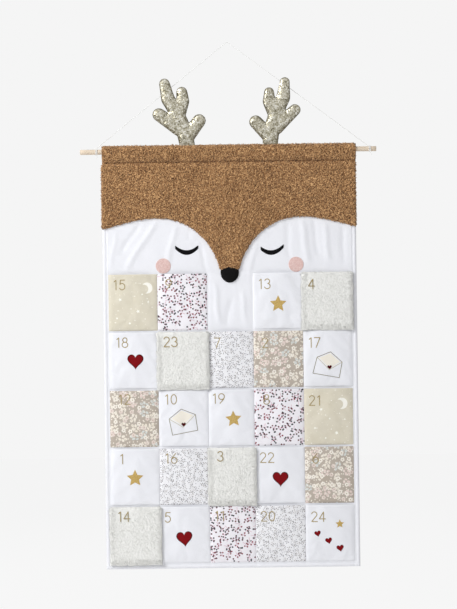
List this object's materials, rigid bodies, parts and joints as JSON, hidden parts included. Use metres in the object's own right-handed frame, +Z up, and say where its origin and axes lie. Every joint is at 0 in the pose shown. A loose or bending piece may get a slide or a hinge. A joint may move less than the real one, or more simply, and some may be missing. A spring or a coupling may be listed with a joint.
{
  "type": "fabric advent calendar",
  "caption": "Padded cloth wall calendar with a sleeping deer's face, stuffed antlers and numbered pockets, hung from a wooden rod by a thin cord.",
  "frame": {"origin": "the top of the hanging cord, where it goes over its nail", "axes": "+X to the viewer's right along the rod, +Y into the wall, +Z up"},
  "size_m": [0.7, 0.0213, 1.2446],
  "materials": {
    "beech_wood": "pale bare beech, satin",
    "thin_cord": "thin white cord, slightly see-through",
    "brown_teddy": "curly brown teddy plush",
    "white_cotton": "white brushed cotton twill",
    "polyester_wadding": "white polyester fibre filling",
    "black_velvet": "black short-pile cloth",
    "black_thread": "black satin-stitch embroidery",
    "pink_felt": "pink felt",
    "gold_glitter_cloth": "champagne-gold glitter cloth, crinkled",
    "sand_cotton": "sand cotton with a white moon and star print",
    "taupe_print_cotton": "taupe cotton with a cream leaf print",
    "berry_print_cotton": "white cotton with a red berry sprig print",
    "grey_sprig_cotton": "white cotton with a grey sprig print",
    "cream_fur": "cream fur cloth"
  },
  "bodies": {
    "hanger": {"cord": "thin_cord", "cord_tie_left": "thin_cord", "cord_tie_right": "thin_cord"},
    "rod": {"rod": "beech_wood"},
    "tunnel": {"rod_tunnel": "brown_teddy"},
    "panel": {"back_lining": "white_cotton", "front_cloth": "white_cotton", "wadding": "polyester_wadding", "plush_hood": "brown_teddy", "nose": "black_velvet", "eye_left": "black_thread", "eye_right": "black_thread", "cheek_left": "pink_felt", "cheek_right": "pink_felt"},
    "antler_left": {"antler_left_cover": "gold_glitter_cloth", "antler_left_filling": "polyester_wadding"},
    "antler_right": {"antler_right_cover": "gold_glitter_cloth", "antler_right_filling": "polyester_wadding"},
    "pocket_15": {"pocket_15": "sand_cotton"},
    "pocket_09": {"pocket_09": "berry_print_cotton"},
    "pocket_13": {"pocket_13": "white_cotton"},
    "pocket_04": {"pocket_04": "cream_fur"},
    "pocket_18": {"pocket_18": "white_cotton"},
    "pocket_23": {"pocket_23": "cream_fur"},
    "pocket_07": {"pocket_07": "grey_sprig_cotton"},
    "pocket_02": {"pocket_02": "taupe_print_cotton"},
    "pocket_17": {"pocket_17": "white_cotton"},
    "pocket_12": {"pocket_12": "taupe_print_cotton"},
    "pocket_10": {"pocket_10": "white_cotton"},
    "pocket_19": {"pocket_19": "white_cotton"},
    "pocket_08": {"pocket_08": "berry_print_cotton"},
    "pocket_21": {"pocket_21": "sand_cotton"},
    "pocket_01": {"pocket_01": "white_cotton"},
    "pocket_16": {"pocket_16": "grey_sprig_cotton"},
    "pocket_03": {"pocket_03": "cream_fur"},
    "pocket_22": {"pocket_22": "white_cotton"},
    "pocket_06": {"pocket_06": "taupe_print_cotton"},
    "pocket_14": {"pocket_14": "cream_fur"},
    "pocket_05": {"pocket_05": "white_cotton"},
    "pocket_11": {"pocket_11": "berry_print_cotton"},
    "pocket_20": {"pocket_20": "grey_sprig_cotton"},
    "pocket_24": {"pocket_24": "white_cotton"}
  },
  "joints": [
    {"name": "rod_turn", "type": "hinge", "parent": "hanger", "child": "rod", "pos_m": [0, -0.008, -0.257], "axis": [1, 0, 0], "continuous": true},
    {"name": "panel_slide", "type": "slide", "parent": "hanger", "child": "tunnel", "axis": [1, 0, 0], "range_m": [-0.0085, 0.025]},
    {"name": "panel_lift", "type": "hinge", "parent": "tunnel", "child": "panel", "pos_m": [0, -0.005, -0.283], "axis": [-1, 0, 0], "range_deg": [0, 50]},
    {"name": "antler_left_flop", "type": "hinge", "parent": "tunnel", "child": "antler_left", "pos_m": [-0.096, -0.0115, -0.242], "axis": [1, 0, 0], "range_deg": [0, 45], "stiffness_Nm_per_rad": 0.15, "springref_deg": -17.19},
    {"name": "antler_right_flop", "type": "hinge", "parent": "tunnel", "child": "antler_right", "pos_m": [0.0995, -0.0115, -0.242], "axis": [1, 0, 0], "range_deg": [0, 45], "stiffness_Nm_per_rad": 0.15, "springref_deg": -17.19},
    {"name": "pocket_15_gape", "type": "hinge", "parent": "panel", "child": "pocket_15", "pos_m": [-0.22961, -0.0086, -0.6805], "axis": [1, 0, 0], "range_deg": [0, 10], "stiffness_Nm_per_rad": 0.08, "springref_deg": -11.46},
    {"name": "pocket_09_gape", "type": "hinge", "parent": "panel", "child": "pocket_09", "pos_m": [-0.11284, -0.0086, -0.6805], "axis": [1, 0, 0], "range_deg": [0, 10], "stiffness_Nm_per_rad": 0.08, "springref_deg": -11.46},
    {"name": "pocket_13_gape", "type": "hinge", "parent": "panel", "child": "pocket_13", "pos_m": [0.11284, -0.0086, -0.6805], "axis": [1, 0, 0], "range_deg": [0, 10], "stiffness_Nm_per_rad": 0.08, "springref_deg": -11.46},
    {"name": "pocket_04_gape", "type": "hinge", "parent": "panel", "child": "pocket_04", "pos_m": [0.22961, -0.0086, -0.6805], "axis": [1, 0, 0], "range_deg": [0, 10], "stiffness_Nm_per_rad": 0.08, "springref_deg": -11.46},
    {"name": "pocket_18_gape", "type": "hinge", "parent": "panel", "child": "pocket_18", "pos_m": [-0.22961, -0.0086, -0.818], "axis": [1, 0, 0], "range_deg": [0, 10], "stiffness_Nm_per_rad": 0.08, "springref_deg": -11.46},
    {"name": "pocket_23_gape", "type": "hinge", "parent": "panel", "child": "pocket_23", "pos_m": [-0.11284, -0.0086, -0.818], "axis": [1, 0, 0], "range_deg": [0, 10], "stiffness_Nm_per_rad": 0.08, "springref_deg": -11.46},
    {"name": "pocket_07_gape", "type": "hinge", "parent": "panel", "child": "pocket_07", "pos_m": [0, -0.0086, -0.818], "axis": [1, 0, 0], "range_deg": [0, 10], "stiffness_Nm_per_rad": 0.08, "springref_deg": -11.46},
    {"name": "pocket_02_gape", "type": "hinge", "parent": "panel", "child": "pocket_02", "pos_m": [0.11284, -0.0086, -0.818], "axis": [1, 0, 0], "range_deg": [0, 10], "stiffness_Nm_per_rad": 0.08, "springref_deg": -11.46},
    {"name": "pocket_17_gape", "type": "hinge", "parent": "panel", "child": "pocket_17", "pos_m": [0.22961, -0.0086, -0.818], "axis": [1, 0, 0], "range_deg": [0, 10], "stiffness_Nm_per_rad": 0.08, "springref_deg": -11.46},
    {"name": "pocket_12_gape", "type": "hinge", "parent": "panel", "child": "pocket_12", "pos_m": [-0.22961, -0.0086, -0.9555], "axis": [1, 0, 0], "range_deg": [0, 10], "stiffness_Nm_per_rad": 0.08, "springref_deg": -11.46},
    {"name": "pocket_10_gape", "type": "hinge", "parent": "panel", "child": "pocket_10", "pos_m": [-0.11284, -0.0086, -0.9555], "axis": [1, 0, 0], "range_deg": [0, 10], "stiffness_Nm_per_rad": 0.08, "springref_deg": -11.46},
    {"name": "pocket_19_gape", "type": "hinge", "parent": "panel", "child": "pocket_19", "pos_m": [0, -0.0086, -0.9555], "axis": [1, 0, 0], "range_deg": [0, 10], "stiffness_Nm_per_rad": 0.08, "springref_deg": -11.46},
    {"name": "pocket_08_gape", "type": "hinge", "parent": "panel", "child": "pocket_08", "pos_m": [0.11284, -0.0086, -0.9555], "axis": [1, 0, 0], "range_deg": [0, 10], "stiffness_Nm_per_rad": 0.08, "springref_deg": -11.46},
    {"name": "pocket_21_gape", "type": "hinge", "parent": "panel", "child": "pocket_21", "pos_m": [0.22961, -0.0086, -0.9555], "axis": [1, 0, 0], "range_deg": [0, 10], "stiffness_Nm_per_rad": 0.08, "springref_deg": -11.46},
    {"name": "pocket_01_gape", "type": "hinge", "parent": "panel", "child": "pocket_01", "pos_m": [-0.22961, -0.0086, -1.093], "axis": [1, 0, 0], "range_deg": [0, 10], "stiffness_Nm_per_rad": 0.08, "springref_deg": -11.46},
    {"name": "pocket_16_gape", "type": "hinge", "parent": "panel", "child": "pocket_16", "pos_m": [-0.11284, -0.0086, -1.093], "axis": [1, 0, 0], "range_deg": [0, 10], "stiffness_Nm_per_rad": 0.08, "springref_deg": -11.46},
    {"name": "pocket_03_gape", "type": "hinge", "parent": "panel", "child": "pocket_03", "pos_m": [0, -0.0086, -1.093], "axis": [1, 0, 0], "range_deg": [0, 10], "stiffness_Nm_per_rad": 0.08, "springref_deg": -11.46},
    {"name": "pocket_22_gape", "type": "hinge", "parent": "panel", "child": "pocket_22", "pos_m": [0.11284, -0.0086, -1.093], "axis": [1, 0, 0], "range_deg": [0, 10], "stiffness_Nm_per_rad": 0.08, "springref_deg": -11.46},
    {"name": "pocket_06_gape", "type": "hinge", "parent": "panel", "child": "pocket_06", "pos_m": [0.22961, -0.0086, -1.093], "axis": [1, 0, 0], "range_deg": [0, 10], "stiffness_Nm_per_rad": 0.08, "springref_deg": -11.46},
    {"name": "pocket_14_gape", "type": "hinge", "parent": "panel", "child": "pocket_14", "pos_m": [-0.22961, -0.0086, -1.2305], "axis": [1, 0, 0], "range_deg": [0, 10], "stiffness_Nm_per_rad": 0.08, "springref_deg": -11.46},
    {"name": "pocket_05_gape", "type": "hinge", "parent": "panel", "child": "pocket_05", "pos_m": [-0.11284, -0.0086, -1.2305], "axis": [1, 0, 0], "range_deg": [0, 10], "stiffness_Nm_per_rad": 0.08, "springref_deg": -11.46},
    {"name": "pocket_11_gape", "type": "hinge", "parent": "panel", "child": "pocket_11", "pos_m": [0, -0.0086, -1.2305], "axis": [1, 0, 0], "range_deg": [0, 10], "stiffness_Nm_per_rad": 0.08, "springref_deg": -11.46},
    {"name": "pocket_20_gape", "type": "hinge", "parent": "panel", "child": "pocket_20", "pos_m": [0.11284, -0.0086, -1.2305], "axis": [1, 0, 0], "range_deg": [0, 10], "stiffness_Nm_per_rad": 0.08, "springref_deg": -11.46},
    {"name": "pocket_24_gape", "type": "hinge", "parent": "panel", "child": "pocket_24", "pos_m": [0.22961, -0.0086, -1.2305], "axis": [1, 0, 0], "range_deg": [0, 10], "stiffness_Nm_per_rad": 0.08, "springref_deg": -11.46}
  ]
}
